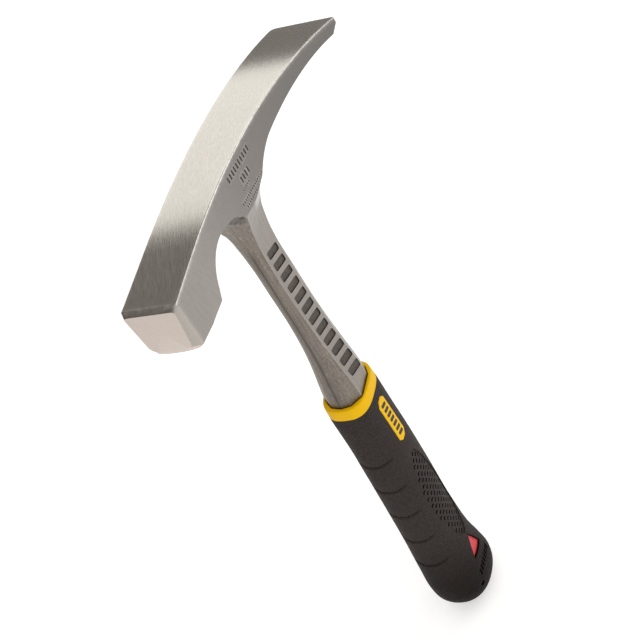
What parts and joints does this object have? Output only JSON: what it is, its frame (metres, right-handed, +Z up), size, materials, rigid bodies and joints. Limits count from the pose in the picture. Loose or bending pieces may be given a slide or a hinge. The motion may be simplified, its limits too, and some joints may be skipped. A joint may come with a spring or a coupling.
{
  "type": "brick hammer",
  "caption": "One-piece steel brick hammer with a square striking face, a curved chisel blade and a soft grip over a tuning-fork tang.",
  "frame": {"origin": "lowest point of the grip's butt, in the plane of symmetry, on the handle's axis", "axes": "+Z up the handle from the butt to the head, -X out of the striking face, +X towards the chisel blade, Y across the thickness"},
  "size_m": [0.1912, 0.0298, 0.2866],
  "materials": {
    "forged_steel": "ground and brushed head, satin forged shank",
    "yellow_plastic": "smooth moulded",
    "red_plastic": "smooth moulded",
    "black_rubber": "fine grained soft moulding",
    "core_plastic": "moulded",
    "soft_damper": "moulded"
  },
  "bodies": {
    "root": {"forged_head_and_shank": "forged_steel", "collar": "yellow_plastic", "grip_sleeve": "black_rubber", "label_plate_left": "yellow_plastic", "label_plate_right": "yellow_plastic", "window_insert_left": "red_plastic", "window_insert_right": "red_plastic", "handle_core": "core_plastic", "fork_boot": "soft_damper", "fork_damper": "soft_damper"}
  },
  "joints": []
}
